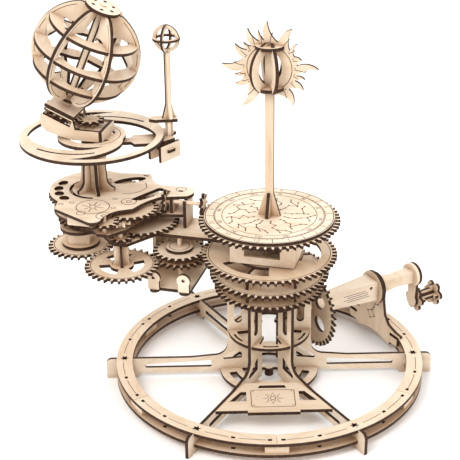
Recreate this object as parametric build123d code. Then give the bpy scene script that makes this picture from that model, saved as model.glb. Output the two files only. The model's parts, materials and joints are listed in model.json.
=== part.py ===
from build123d import *
import math
import os

# A laser-cut plywood orrery: Sun on a fixed column, Earth and Moon on an arm that a crank drives round.
# Frame: +Z up, the origin on the floor under the column, +X along one base leg. Millimetres, degrees.

# ---- Sheet and fits ----
SHEET = 3.0                 # plywood thickness
FIT = 0.05                  # radial running clearance of a shaft in its hole
GAP = 0.1                   # gap round a slotted joint

# ---- Gear teeth ----
MODULE = 2.0
ADDENDUM = MODULE
DEDENDUM = 1.2 * MODULE
HALF_TOOTH = 1.2            # half the tooth thickness at the pitch circle
HALF_TIP = 0.5              # half the tooth thickness at the tip

# ---- Base ----
RING_OUTER = 140.0
RING_INNER = 125.5
RING_MID = (RING_OUTER + RING_INNER) / 2
RING_TOP = 20.0             # upper face of the upper ring, above the floor
LOWER_RING_TOP = 9.3
LEG_ANGLES = [60 * i for i in range(6)]
SEAM_ANGLES = [60 * i + 30 for i in range(6)]
LEG_END = 149.5
SPOKE_BOTTOM = 4.6
FLOOR_DISC = 5.0            # under face of the disc below the legs
FLOOR_DISC_R = 45.0
FOOT_R = 4.0                 # foot under the middle of the floor disc
UPRIGHT_INNER = 17.0
UPRIGHT_OUTER = 38.0
UPRIGHT_TOP = 88.0
TIE_DISCS = (46.0, 85.0)    # under faces of the two discs that tie the uprights
TIE_R = 37.0
TIE_LAP = 21.0              # radius where a tie disc's slot meets a leg's notch

# ---- Column and dial ----
SPINDLE_R = 5.0
CORE_R = 12.0
DIAL_TEETH = 60
DIAL_Z = 157.0
DIAL_FACE_R = 57.0
SUN_Z = 297.0
SUN_TURN = -17.0            # turn of the Sun about the column, from facing the front
SUN_R = 22.5
RAY_ROOT = 23.5
POST_HALF = 3.8

# ---- Drum of three gears that turns on the spindle ----
DRUM = ((47, 92.2), (51, 105.5), (58, 123.5))     # teeth, under face
CRANK_TEETH = 36

# ---- Crank ----
CRANK_AZ = 30.0
CRANK_GEAR_AT = 46.5        # distance of the crank gear's mid-plane from the column
CRANK_Z = DRUM[0][1] + SHEET / 2 - CRANK_TEETH * MODULE / 2
BRACKET_AT = 122.3          # outer face of the crank bracket, just inside the ring
CRANK_THROW = 28.0
CRANK_DISC_AT = 165.0
SHAFT_R = 4.0

# ---- Arm: levels of its plates and gears, each the under face ----
ARM_AZ = 164.0
CARRIAGE_Z = 95.0
LEVEL_0 = 117.0             # branch, transfer lower and outer lower gears
LEVEL_1 = DRUM[2][1]        # transfer upper gear beside the drum's upper gear
PLATE_LOWER = 139.6
LEVEL_2 = 143.0
LEVEL_3 = 146.4
LEVEL_3B = 149.8
PLATE_MIDDLE = 153.0
LEVEL_4 = 156.3
LEVEL_5 = 159.6
LEVEL_6 = 162.9
LEVEL_7 = 166.2
PLATE_TOP = 168.5
PLATFORM = PLATE_TOP + SHEET
THIN = 2.0
PIN_R = 2.0
ARBOR_R = 1.8
ARBOR_Z = DIAL_Z + SHEET / 2 + 8 * MODULE / 2
ARBOR_TEETH = 8

# ---- Earth and Moon ----
EARTH_U = 161.0             # distance of the Earth's upright axis from the column
ROD_R = 1.5
MOUNT_TUBE_R = 3.2
MOON_TUBE_R = 5.0
POST_TOP = 211.0
RING_PLATE_Z = 220.0
ORBIT_OUTER = 63.5
ORBIT_INNER = 57.0
ORBIT_HUB = (21.0, 30.0)
HOUSE_AZ = -16.0            # direction in which the Earth's axis leans
TILT = 23.5
GLOBE_Z = 298.4
GLOBE_X = -0.5
GLOBE_R = 47.0
DRIVE_Z = 234.9             # under face of the pinion that turns the globe
MOON_AZ = 5.0               # direction of the Moon from the Earth
MOON_REACH = 68.5
MOON_Z = 308.0
MOON_R = 12.0
MOON_BOARD = 213.6          # under face of the board that carries the Moon
MOON_FLANGE = 233.0         # under face of the small board at the foot of the Moon's post
MOON_TEETH = (24, 20)       # wheel on the Moon's drive shaft, wheel on the Moon's tube


# ---------------------------------------------------------------- small helpers

def polar(radius, angle):
    return (radius * math.cos(math.radians(angle)), radius * math.sin(math.radians(angle)))


def polygon(*points):
    return make_face(Polyline(*points, close=True))


def disc(radius, bore=0.0):
    face = Circle(radius)
    return face - Circle(bore) if bore else face


def slab(face, z, thickness=SHEET):
    """A flat plate whose under face is at height z."""
    return Pos(0, 0, z) * extrude(face, thickness)


def tube(radius, bore, z_low, z_high):
    return slab(disc(radius, bore), z_low, z_high - z_low)


def block(x_range, y_range, z_range):
    size = [high - low for low, high in (x_range, y_range, z_range)]
    middle = [(high + low) / 2 for low, high in (x_range, y_range, z_range)]
    return Pos(*middle) * Box(*size)


def turned(shape, angle):
    return Rot(0, 0, angle) * shape


def around(shape, angles):
    return [turned(shape, angle) for angle in angles]


def fin(profile, thickness=SHEET):
    """An upright plate through the axis, from a profile drawn in (radius, height)."""
    return extrude(Plane.XZ * profile, thickness / 2, both=True)


def facing(azimuth, distance, height):
    """A plane square to a horizontal line from the axis; its x runs along the tangent, its y up."""
    x, y = polar(distance, azimuth)
    return Plane(origin=(x, y, height), x_dir=(*polar(1, azimuth + 90), 0), z_dir=(*polar(1, azimuth), 0))


def facing_plate(face, azimuth, distance, height, thickness=SHEET):
    """An upright plate whose mid-plane stands square to the radius at the distance."""
    return extrude(facing(azimuth, distance, height) * face, thickness / 2, both=True)


def sector(r_low, r_high, angle, half_width):
    """A band of a disc, half_width degrees to each side of the angle."""
    wedge = [(0, 0)]
    for step in (-1, -0.5, 0, 0.5, 1):
        wedge.append(polar(1.3 * r_high, angle + step * half_width))
    return disc(r_high, r_low) & polygon(*wedge)


def pitch_radius(teeth):
    return MODULE * teeth / 2


def gear_face(teeth, phase=0.0, bore=0.0, addendum=ADDENDUM):
    """Radial flanks under the pitch circle and straight slopes above it; a tooth's middle is at the phase."""
    pitch = pitch_radius(teeth)
    at_pitch = math.degrees(HALF_TOOTH / pitch)
    at_tip = math.degrees(HALF_TIP / (pitch + addendum))
    points = []
    for tooth in range(teeth):
        middle = phase + tooth * 360 / teeth
        points.append(polar(pitch - DEDENDUM, middle - at_pitch))
        points.append(polar(pitch, middle - at_pitch))
        points.append(polar(pitch + addendum, middle - at_tip))
        points.append(polar(pitch + addendum, middle + at_tip))
        points.append(polar(pitch, middle + at_pitch))
        points.append(polar(pitch - DEDENDUM, middle + at_pitch))
    face = polygon(*points)
    return face - Circle(bore) if bore else face


def bearing_of(start, end):
    return math.degrees(math.atan2(end[1] - start[1], end[0] - start[0]))


def offset_in_pitch(teeth, phase, direction):
    """How far, in pitches, the direction lies past the last tooth."""
    return ((direction - phase) * teeth / 360) % 1.0


def meshed_phase(driver_teeth, driver_phase, direction, teeth):
    """Phase that puts a gap opposite the driver's tooth, the driven gear lying in the direction."""
    offset = offset_in_pitch(driver_teeth, driver_phase, direction)
    return direction + 180 + (offset + 0.5) * 360 / teeth


def upright_phase(flat_teeth, flat_phase, direction, teeth, above):
    """Phase of an upright gear standing in the direction, above or below the flat gear's rim."""
    offset = (0.5 - offset_in_pitch(flat_teeth, flat_phase, direction)) * 360 / teeth
    return -90 + offset if above else 90 - offset


def meeting_point(first, first_r, second, second_r, side):
    """The point at the two distances from two centres, to the left of the line between them for side 1."""
    dx = second[0] - first[0]
    dy = second[1] - first[1]
    span = math.hypot(dx, dy)
    along = (first_r ** 2 - second_r ** 2 + span ** 2) / (2 * span)
    away = side * math.sqrt(first_r ** 2 - along ** 2)
    return (first[0] + (along * dx - away * dy) / span, first[1] + (along * dy + away * dx) / span)


def centre_distance(first_teeth, second_teeth):
    return pitch_radius(first_teeth) + pitch_radius(second_teeth)


def save(name, *shapes):
    solids = []
    for shape in shapes:
        items = shape if isinstance(shape, list) else [shape]
        for item in items:
            solids.extend(item.solids())
    export_step(Compound(children=solids) if len(solids) > 1 else solids[0], f"parts/{name}.step")


# ---------------------------------------------------------------- base

def star(radius):
    points = []
    for i in range(12):
        points.append(polar(radius if i % 2 == 0 else 0.5 * radius, 30 * i))
    return polygon(*points)


def ring_face():
    """Six segments, parted by saw-thin seams, with key slots beside each leg and each seam."""
    face = disc(RING_OUTER, RING_INNER)
    seam = Pos(RING_MID, 0) * Rectangle(RING_OUTER - RING_INNER + 2, 0.3)
    slot = Pos(RING_MID + 1, 0) * Rectangle(2.6, 3.6)
    for angle in SEAM_ANGLES:
        face -= Rot(0, 0, angle) * seam
        for offset in (-2.4, 2.4):
            face -= Rot(0, 0, angle + offset) * slot
    for angle in LEG_ANGLES:
        for offset in (-14.4, 14.4):
            face -= Rot(0, 0, angle + offset) * slot
    return face


def upper_ring():
    face = ring_face()
    for angle in LEG_ANGLES:
        face -= Rot(0, 0, angle) * (Pos(RING_MID, 0) * star(4.2))
    return slab(face, RING_TOP - SHEET)


def ring_spacers():
    """Curved blocks between the rings at the seams, and keys under the lower ring beside the legs."""
    high = RING_TOP - SHEET
    spacer = slab(sector(128, 138, 0, 4.2), LOWER_RING_TOP, high - LOWER_RING_TOP)
    key_top = LOWER_RING_TOP - SHEET
    keys = []
    for side in (-1, 1):
        inner = side * SHEET / 2
        outer = side * 6.5
        y_range = (min(inner, outer), max(inner, outer))
        keys.append(block((RING_MID - 3, RING_MID + 3), y_range, (key_top - SHEET, key_top)))
    pieces = around(spacer, SEAM_ANGLES)
    for key in keys:
        pieces += around(key, LEG_ANGLES)
    return pieces


def leg_profile():
    """Half of the base cut through one leg: foot, spoke, upright, with its notches and windows."""
    corner = 5.0
    arc = corner * math.sqrt(0.5)
    start = (LEG_END, 0)
    lines = Polyline(start, (LEG_END, RING_TOP - corner))
    lines += ThreePointArc(
        (LEG_END, RING_TOP - corner),
        (LEG_END - corner + arc, RING_TOP - corner + arc),
        (LEG_END - corner, RING_TOP),
    )
    fillet = 12.0
    rise = RING_TOP + 2
    fillet_x = UPRIGHT_OUTER + fillet
    lines += Polyline((LEG_END - corner, RING_TOP), (72, RING_TOP), (fillet_x, rise))
    swing = fillet * (1 - math.sqrt(0.5))
    lines += ThreePointArc(
        (fillet_x, rise),
        (UPRIGHT_OUTER + swing, rise + swing),
        (UPRIGHT_OUTER, rise + fillet),
    )
    under_disc = FLOOR_DISC + SHEET
    lines += Polyline(
        (UPRIGHT_OUTER, rise + fillet),
        (UPRIGHT_OUTER, UPRIGHT_TOP),
        (UPRIGHT_INNER, UPRIGHT_TOP),
        (UPRIGHT_INNER, under_disc),
        (FLOOR_DISC_R + GAP, under_disc),
        (FLOOR_DISC_R + GAP, SPOKE_BOTTOM),
        (117, SPOKE_BOTTOM),
        (122, 0),
        start,
    )
    face = make_face(lines)
    ring_width = RING_OUTER - RING_INNER + GAP
    face -= Pos(RING_MID, RING_TOP) * Rectangle(ring_width, 2 * SHEET)
    face -= Pos(RING_MID, LOWER_RING_TOP - SHEET / 2) * Rectangle(ring_width, SHEET + GAP)
    face -= fillet_all(polygon((53, 10), (114, 10), (114, 13.6), (53, 17)), 1.4)
    face -= fillet_all(polygon((25, 19), (42, 17.5), (42, 20), (25, 32)), 1.2)
    slot_height = 27.0
    face -= Pos(28.2, 56 + slot_height / 2) * SlotOverall(slot_height, 7, rotation=90)
    for z in TIE_DISCS:
        notch = (TIE_LAP + UPRIGHT_INNER) / 2
        face -= Pos(notch, z + SHEET / 2) * Rectangle(TIE_LAP - UPRIGHT_INNER, SHEET)
    return face


def fillet_all(face, radius):
    return fillet(face.vertices(), radius)


def tie_disc(z, bore):
    """A disc between the uprights: slots for the legs outside, windows between them."""
    face = disc(TIE_R, bore)
    leg = Pos((TIE_LAP + TIE_R + 1) / 2, 0) * Rectangle(TIE_R + 1 - TIE_LAP, SHEET)
    for angle in LEG_ANGLES:
        face -= Rot(0, 0, angle) * leg
    for angle in SEAM_ANGLES:
        face -= sector(13, 30, angle, 20)
        face -= sector(32.5, 34.5, angle, 12)
    return slab(face, z)


def tie_discs():
    """The lower disc is open in the middle; the upper one holds the foot of the spindle."""
    return [tie_disc(TIE_DISCS[0], UPRIGHT_INNER - 1), tie_disc(TIE_DISCS[1], SPINDLE_R)]


def floor_disc():
    """A ring under the uprights with a curved slot in each sixth, and a foot on a bar across the middle."""
    face = disc(FLOOR_DISC_R, 25)
    for angle in SEAM_ANGLES:
        face -= sector(31, 38, angle, 16)
    face += Rectangle(52, SHEET)
    return slab(face + Circle(FOOT_R), FLOOR_DISC) + tube(FOOT_R, 0, 0, FLOOR_DISC)


def sign_plate():
    """A plate between the two front legs, level with their tops, with a lip in front."""
    near = 47.0
    far = 90.0
    lip = 93.0
    half_leg = SHEET / 2 / math.cos(math.radians(30))
    slope = math.tan(math.radians(30))
    near_half = near * slope - half_leg
    far_half = far * slope - half_leg
    face = polygon((-near_half, -near), (near_half, -near), (far_half, -far), (-far_half, -far))
    face += Pos(0, -(far + lip) / 2) * Rectangle(45, lip - far)
    for side in (-1, 1):
        face -= polygon((side * 23, -61), (side * 28, -61), (side * 38, -75.5), (side * 23, -75.5))
    face -= polygon((-11, -51), (11, -51), (12.5, -55.3), (-12.5, -55.3))
    return slab(face, RING_TOP - SHEET)


# ---------------------------------------------------------------- column, dial and Sun

def dial_gear():
    return slab(gear_face(DIAL_TEETH, 0, SPINDLE_R), DIAL_Z)


def on_sun(shape):
    """A shape built square to the front, turned with the Sun."""
    return turned(shape, SUN_TURN)


def sun_post():
    """A broad strip with a flared foot, and two short fins square to it."""
    low = DIAL_Z + 2 * SHEET
    high = SUN_Z + SUN_R - 4.5
    flare = 10.0
    foot = low + 21
    strip = polygon(
        (-flare, low),
        (flare, low),
        (POST_HALF, foot),
        (POST_HALF, high),
        (-POST_HALF, high),
        (-POST_HALF, foot),
    )
    side = polygon((SHEET / 2, low), (flare, low), (SHEET / 2 + 1.5, foot), (SHEET / 2, foot))
    fins = [turned(fin(side), angle) for angle in (-90, 90)]
    return [on_sun(piece) for piece in [fin(strip)] + fins]


# Flames of the Sun, counter-clockwise from the right: where the root starts and ends, where the tip
# points, and how far it reaches.
FLAMES = (
    (-14, 8, 2, 41.5), (9, 28, 17, 28), (31, 42, 43, 32), (43, 71, 61, 39),
    (71, 100, 93, 39.5), (100, 110, 107, 33), (110, 130, 120, 37.5), (130, 142, 138, 30),
    (142, 161, 148, 35), (161, 188, 179, 41), (188, 199, 194, 31), (199, 219, 208, 33.5),
    (219, 247, 235, 42), (288, 314, 303, 37.5), (314, 336, 329, 33.5), (336, 346, 345, 31),
)


def bowed(start, end, bow):
    """An arc from start to end that bulges to its left by this share of its length."""
    middle = ((start[0] + end[0]) / 2, (start[1] + end[1]) / 2)
    across = (-(end[1] - start[1]), end[0] - start[0])
    return ThreePointArc(start, (middle[0] + bow * across[0], middle[1] + bow * across[1]), end)


def flame(start, end, tip, reach):
    """A flame whose two sides bow the same way, so that its tip curls clockwise."""
    low = polar(RAY_ROOT - 0.5, start)
    high = polar(RAY_ROOT - 0.5, end)
    point = polar(reach, tip)
    return make_face(bowed(low, point, 0.12) + bowed(point, high, -0.16) + Line(high, low))


def sun_rays():
    """A flat disc with long and short flames, open in the middle on both sides of the post."""
    face = disc(RAY_ROOT)
    for shape in FLAMES:
        face += flame(*shape)
    window = Ellipse(10.5, 15)
    gap = POST_HALF + GAP
    face -= window
    face -= Pos(0, -SUN_R) * Rectangle(2 * gap, 2 * SUN_R)
    face -= Pos(0, 15) * Rectangle(2 * gap, 7)
    return on_sun(Pos(0, 0, SUN_Z) * fin(face))


def sun_ribs():
    """Four half rings, two before and two behind the ray plate, and a disc near each pole."""
    half_ring = disc(SUN_R, SUN_R - 8) & (Pos(SUN_R / 2 + 4, 0) * Rectangle(SUN_R, 3 * SUN_R))
    rib = Pos(0, 0, SUN_Z) * fin(half_ring)
    ribs = around(rib, (-120, -60, 60, 120))
    hole = 2 * (POST_HALF + GAP)
    disc_face = disc(12.5) - Rectangle(26, SHEET + GAP) - Rectangle(hole, hole)
    discs = []
    for z in (SUN_Z + 17.0, SUN_Z - 18.5):
        plate = slab(disc_face, z)
        for piece in ribs:
            plate -= piece
        discs.append(plate)
    return [on_sun(piece) for piece in ribs + discs]


# ---------------------------------------------------------------- drum

def drum_core():
    """The bush that the three gears share, and the upright fins that space them."""
    bush = tube(CORE_R, SPINDLE_R + FIT, DRUM[0][1] - 1, DRUM[2][1] + SHEET + 0.5)
    pieces = [bush]
    for lower, upper in zip(DRUM, DRUM[1:]):
        profile = polygon(
            (CORE_R, lower[1] + SHEET), (42, lower[1] + SHEET), (38, upper[1]), (CORE_R, upper[1])
        )
        pieces += around(fin(profile), LEG_ANGLES)
    return pieces


def drum_gear(index):
    """One of the three gears; the upper one has three curved windows."""
    teeth, z = DRUM[index]
    face = gear_face(teeth, DRUM_PHASES[index], CORE_R)
    if index == 2:
        for i in range(3):
            face -= sector(30, 46, 120 * i - 4, 31)
    return slab(face, z)


# ---------------------------------------------------------------- crank

def crank_gear():
    face = gear_face(CRANK_TEETH, CRANK_PHASE, SHAFT_R)
    for i in range(5):
        face -= Rot(0, 0, 72 * i) * (Pos(19, 0) * Ellipse(8, 6.5))
    return facing_plate(face, CRANK_AZ, CRANK_GEAR_AT, CRANK_Z)


def along_crank(face, near, far):
    plane = facing(CRANK_AZ, near, CRANK_Z)
    return extrude(plane * face, far - near)


def crank_shaft():
    """The rod, its waisted square sleeve outside the bracket and the flange at the sleeve's end."""
    rod = along_crank(Circle(SHAFT_R), 29, CRANK_DISC_AT + SHEET)
    pieces = [rod]
    flange_at = CRANK_DISC_AT - SHEET
    stations = ((BRACKET_AT + 0.6, 13), (142, 10), (flange_at, 12))
    for (near, near_side), (far, far_side) in zip(stations, stations[1:]):
        sections = [
            facing(CRANK_AZ, near, CRANK_Z) * Rectangle(near_side, near_side),
            facing(CRANK_AZ, far, CRANK_Z) * Rectangle(far_side, far_side),
        ]
        pieces.append(loft(sections) - along_crank(Circle(SHAFT_R), near - 1, far + 1))
    pieces.append(along_crank(disc(11.5, SHAFT_R), flange_at, CRANK_DISC_AT))
    return pieces


def crank_arm():
    """A link hanging from the shaft's end, with the pin that carries the knob."""
    link = Circle(11.5) + Pos(0, -CRANK_THROW) * Circle(7)
    link += polygon((-7, 0), (7, 0), (5, -CRANK_THROW), (-5, -CRANK_THROW))
    link -= Circle(SHAFT_R)
    pin_hole = Pos(0, -CRANK_THROW) * Circle(2.5)
    plate = along_crank(link - pin_hole, CRANK_DISC_AT, CRANK_DISC_AT + SHEET)
    pin = along_crank(pin_hole, CRANK_DISC_AT, CRANK_DISC_AT + 32)
    return [plate, pin]


def crank_knob():
    """Two six-lobed discs joined by a waisted cross of boards, loose on the crank pin."""
    lobed = Circle(9)
    for i in range(6):
        lobed += Pos(*polar(8.5, 60 * i)) * Circle(3.8)
    broad = Rectangle(19, SHEET) + Rectangle(SHEET, 19)
    slim = Rectangle(13, SHEET) + Rectangle(SHEET, 13) + Circle(4)
    start = CRANK_DISC_AT + SHEET + 0.4
    stations = ((lobed, 0, 3), (broad, 3, 7), (slim, 7, 19), (broad, 19, 23), (lobed, 23, 26))
    pieces = []
    for face, near, far in stations:
        bored = face + Circle(4) - Circle(2.5 + FIT)
        pieces.append(along_crank(Pos(0, -CRANK_THROW) * bored, start + near, start + far))
    return pieces


def crank_inner_bearing():
    """An upright plate between the two tie discs, behind the crank gear."""
    low = TIE_DISCS[0] + SHEET
    high = TIE_DISCS[1]
    face = Pos(0, (low + high) / 2 - CRANK_Z) * Rectangle(22, high - low)
    face -= Circle(SHAFT_R + FIT)
    return facing_plate(face, CRANK_AZ, 33, CRANK_Z)


def crank_cover():
    """A tapered four-sided housing round the shaft, with an end board against the bracket's flange."""
    near = 62.0
    far = BRACKET_AT - 3 * SHEET
    near_side = 13.0
    far_side = 19.0
    outside = loft([
        facing(CRANK_AZ, near, CRANK_Z) * Rectangle(near_side, near_side),
        facing(CRANK_AZ, far, CRANK_Z) * Rectangle(far_side, far_side),
    ])
    inside = loft([
        facing(CRANK_AZ, near - 1, CRANK_Z) * Rectangle(near_side - 2 * THIN, near_side - 2 * THIN),
        facing(CRANK_AZ, far + 1, CRANK_Z) * Rectangle(far_side - 2 * THIN, far_side - 2 * THIN),
    ])
    peg_hole = turned(Pos(far - 5, 0, CRANK_Z + 5) * Rot(90, 0, 0) * Cylinder(1.6, 40), CRANK_AZ)
    end = along_crank(Rectangle(far_side, far_side) - Circle(SHAFT_R + 0.5), far, far + SHEET)
    return [outside - inside - peg_hole, end]


def crank_bracket():
    """A bell-shaped plate inside the ring, notched to grip both its layers, and the flange before it."""
    ring_top = RING_TOP + FIT - CRANK_Z
    upper_under = RING_TOP - SHEET - GAP - CRANK_Z
    lower_top = LOWER_RING_TOP + GAP - CRANK_Z
    bottom = LOWER_RING_TOP - SHEET - GAP - CRANK_Z
    inside = 26.0
    half = polygon(
        (0, 0),
        (14, 0),
        (13.4, -9),
        (16, -24),
        (22.5, -32),
        (33.5, -35.2),
        (41.5, -35.8),
        (41.5, ring_top),
        (inside, ring_top),
        (inside, upper_under),
        (37, upper_under),
        (37, lower_top),
        (inside, lower_top),
        (inside, bottom),
        (8, bottom + 4),
        (0, bottom + 4.5),
    )
    plate = Circle(14) + half + mirror(half, about=Plane.YZ)
    flange = disc(16, SHAFT_R + FIT)
    middle = BRACKET_AT - SHEET / 2
    return [
        facing_plate(plate - Circle(SHAFT_R + FIT), CRANK_AZ, middle, CRANK_Z),
        facing_plate(flange, CRANK_AZ, middle - SHEET, CRANK_Z),
    ]


# ---------------------------------------------------------------- gear train on the arm

EARTH = (EARTH_U, 0.0)
RELAY = (EARTH_U - centre_distance(12, 30), 0.0)
TRANSFER = polar(centre_distance(DRUM[2][0], 22), 9)
BRANCH = meeting_point(TRANSFER, centre_distance(31, 22), RELAY, centre_distance(33, 8), 1)
OUTER = meeting_point(BRANCH, centre_distance(31, 28), EARTH, centre_distance(8, 8), 1)
MOON_DRIVE = meeting_point(EARTH, centre_distance(*MOON_TEETH), BRANCH, 20.6, 1)
IDLER = meeting_point(BRANCH, 16, MOON_DRIVE, 16, 1)
COUNTER = meeting_point(MOON_DRIVE, centre_distance(MOON_TEETH[0], 11), EARTH, 60, 1)


COLUMN = (0.0, 0.0)

# Phases follow the train outwards from the dial, so that every tooth faces a gap at rest.
ARBOR_PHASE = upright_phase(DIAL_TEETH, -ARM_AZ, 0, ARBOR_TEETH, True)
ARBOR_OFFSET = ((ARBOR_PHASE + 90) * ARBOR_TEETH / 360) % 1.0
RELAY_UPPER_PHASE = 180 + (0.5 - ARBOR_OFFSET) * 360 / 24
BRANCH_PINION_PHASE = meshed_phase(33, 0, bearing_of(RELAY, BRANCH), 8)
TRANSFER_LOWER_PHASE = meshed_phase(31, 0, bearing_of(BRANCH, TRANSFER), 22)
OUTER_PHASE = meshed_phase(31, 0, bearing_of(BRANCH, OUTER), 28)
DRUM_UPPER_PHASE = ARM_AZ + meshed_phase(22, 0, bearing_of(TRANSFER, COLUMN), 58)
DRUM_PHASES = (0.0, 0.0, DRUM_UPPER_PHASE)
CRANK_PHASE = upright_phase(DRUM[0][0], DRUM_PHASES[0], CRANK_AZ, CRANK_TEETH, False)
IDLER_PHASE = meshed_phase(8, 0, bearing_of(BRANCH, IDLER), 8)
MOON_PINION_PHASE = meshed_phase(8, IDLER_PHASE, bearing_of(IDLER, MOON_DRIVE), 8)
MOON_WHEEL_PHASE = meshed_phase(MOON_TEETH[0], 0, bearing_of(MOON_DRIVE, EARTH), MOON_TEETH[1])
COUNTER_PHASE = meshed_phase(MOON_TEETH[0], 0, bearing_of(MOON_DRIVE, COUNTER), 11)
MOUNT_PHASE = meshed_phase(12, 0, bearing_of(RELAY, EARTH), 30)
ROD_PHASE = meshed_phase(8, 0, bearing_of(OUTER, EARTH), 8)
GLOBE_DRIVE_PHASE = HOUSE_AZ + 180
GLOBE_GEAR_PHASE = 180 / 16


def on_arm(shape):
    return turned(shape, ARM_AZ)


def at(centre, shape):
    """A shape built on the axis, moved to a shaft's place on the arm."""
    return on_arm(Pos(*centre, 0) * shape)


def gear_at(centre, teeth, phase, z, bore=PIN_R):
    return at(centre, slab(gear_face(teeth, phase, bore), z))


def pin_at(centre, z_low, z_high, radius=PIN_R):
    return at(centre, tube(radius, 0, z_low, z_high))


def holes(centres, radius=PIN_R + FIT):
    return [Pos(*centre) * Circle(radius) for centre in centres]


def arm_hub_box():
    """Four boards under the dial: front, back, inner end and a lid that turns on the spindle."""
    low = LEVEL_1 + SHEET + 1.0
    high = DIAL_Z - SHEET - 0.8
    half = 25.5
    board = block((-half - SHEET, half + SHEET), (half, half + SHEET), (low, high))
    opening = Pos(0, half, (low + high) / 2) * Rot(90, 0, 0) * Box(32, 12, 10)
    board -= opening
    back = turned(board, 180)
    end = block((-half - SHEET, -half), (-half, half), (low, high))
    lid_face = Rectangle(2 * half + 6, 2 * half + 6) - Circle(SPINDLE_R + FIT)
    return [on_arm(piece) for piece in (board, back, end, slab(lid_face, high))]


def arm_plate_lower():
    """The board that carries the arm: a square round the spindle, a tongue and a broad outer end."""
    outer = OUTER
    face = Rectangle(51, 51)
    tongue = make_face(
        Polyline((20, -20), (95, -20), (108, -41), (144, -41), (160, -27))
        + ThreePointArc((160, -27), (outer[0] + 14, outer[1] - 4), (outer[0], outer[1] + 14))
        + Polyline((outer[0], outer[1] + 14), (146, 30), (130, 46), (117, 46), (98, 18), (20, 18), (20, -20))
    )
    face += tongue
    face -= Circle(SPINDLE_R + FIT)
    for hole in holes((TRANSFER, RELAY, BRANCH, OUTER)):
        face -= hole
    return on_arm(slab(face, PLATE_LOWER))


def arm_plate_middle():
    face = make_face(
        Polyline((78.2, -18), (92, -17), (107, -21), (114, -41), (148, -41))
        + ThreePointArc((148, -41), (199, 0), (176, 36))
        + Polyline((176, 36), (152, 42), (139, 58), (128, 58), (117, 44))
        + Polyline((117, 44), (108, 22), (98, 7), (78.2, 3), (78.2, -18))
    )
    face -= Pos(*EARTH) * Circle(MOUNT_TUBE_R + FIT)
    for hole in holes((RELAY, BRANCH, IDLER, MOON_DRIVE, COUNTER)):
        face -= hole
    return on_arm(slab(face, PLATE_MIDDLE))


def platform_outline():
    """The visible top board, clockwise from the back of its round end."""
    return make_face(
        Polyline((150, -38.5), (122.5, -43), (118, -35))
        + ThreePointArc((118, -35), (111.5, -24.5), (103, -20.5))
        + Line((103, -20.5), (80.5, -22))
        + ThreePointArc((80.5, -22), (72, -13), (76, -2.5))
        + Line((76, -2.5), (98, 4.5))
        + ThreePointArc((98, 4.5), (107.5, 18), (113.5, 33.5))
        + Line((113.5, 33.5), (124.5, 40.5))
        + ThreePointArc((124.5, 40.5), (131.5, 51), (133.2, 62))
        + ThreePointArc((133.2, 62), (136.5, 68.5), (143, 68.5))
        + Line((143, 68.5), (180, 49.5))
        + Line((180, 49.5), (183, 34))
        + ThreePointArc((183, 34), (201, -8), (150, -38.5))
    )


def arm_plate_top():
    face = platform_outline()
    earth = Pos(*EARTH)
    face -= earth * Circle(MOON_TUBE_R + FIT)
    for angle in (-8, 14, 34, 54):
        face -= earth * Rot(0, 0, angle) * Pos(32.5, 0) * Ellipse(4.2, 5.2)
    for hole in holes((MOON_DRIVE, COUNTER)):
        face -= hole
    face -= make_face(
        Line((122, 15), (106, -13))
        + ThreePointArc((106, -13), (102, -14), (99.5, -11))
        + ThreePointArc((99.5, -11), (104, 4), (112, 14.5))
        + ThreePointArc((112, 14.5), (117, 16.5), (122, 15))
    )
    face -= earth * sector(20, 23, 30, 75)
    face -= Pos(136, -24) * Rot(0, 0, 35) * Ellipse(15, 6)
    face -= Pos(125, -37.5) * Rectangle(5, 2)
    face -= Pos(84, -12) * Rectangle(4, SHEET)
    face -= Pos(RELAY[0] - 24, -3) * Rectangle(SHEET + 1.4, 15)
    return on_arm(slab(face, PLATE_TOP))


def arm_blocks():
    """Upright boards that space the plates and carry the arbor, and the two carriage hangers."""
    top = PLATE_TOP
    slot = block((60, 110), (-ARBOR_R - FIT, ARBOR_R + FIT), (ARBOR_Z - ARBOR_R - FIT, top))
    above_lower = PLATE_LOWER + SHEET
    above_middle = PLATE_MIDDLE + SHEET
    inner = block((74.9, 77.9), (-18, 3), (above_lower, top)) - slot
    outer = block((87, 90), (-14, 3), (above_middle, top)) - slot
    back_low = block((112, 142), (-39.5, -36.5), (above_lower, PLATE_MIDDLE))
    back_high = block((121, 132), (-39.5, -36.5), (above_middle, top))
    front_high = block((146, 170), (44, 47), (above_middle, top))
    front_low = block((140, 150), (31, 34), (above_lower, PLATE_MIDDLE))
    hanger_low = CARRIAGE_Z + SHEET
    back_hanger = block((66, 107), (-19, -16), (hanger_low, PLATE_LOWER))
    end_hanger = block((104, 107), (-16, 4), (hanger_low, PLATE_LOWER))
    pieces = (inner, outer, back_low, back_high, front_high, front_low, back_hanger, end_hanger)
    return [on_arm(piece) for piece in pieces]


def arm_carriage():
    """The board under the transfer gears and its two round-topped tabs."""
    face = make_face(
        Polyline((62, -19), (108, -19), (108, 8), (100, 36))
        + ThreePointArc((100, 36), (96, 41), (91, 36))
        + Line((91, 36), (73, 36))
        + ThreePointArc((73, 36), (68, 41), (63, 36))
        + Polyline((63, 36), (62, -19))
    )
    face -= Pos(*TRANSFER) * Circle(PIN_R + FIT)
    board = slab(face, CARRIAGE_Z)
    tab_face = Pos(0, 6) * Rectangle(10, 12) + Pos(0, 11) * Circle(6) - Pos(0, 11.5) * Circle(1.6)
    low = CARRIAGE_Z + SHEET
    tabs = [Pos(u, 38.6, low) * fin(tab_face) for u in (68, 95.5)]
    return [on_arm(piece) for piece in [board] + tabs]


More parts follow.
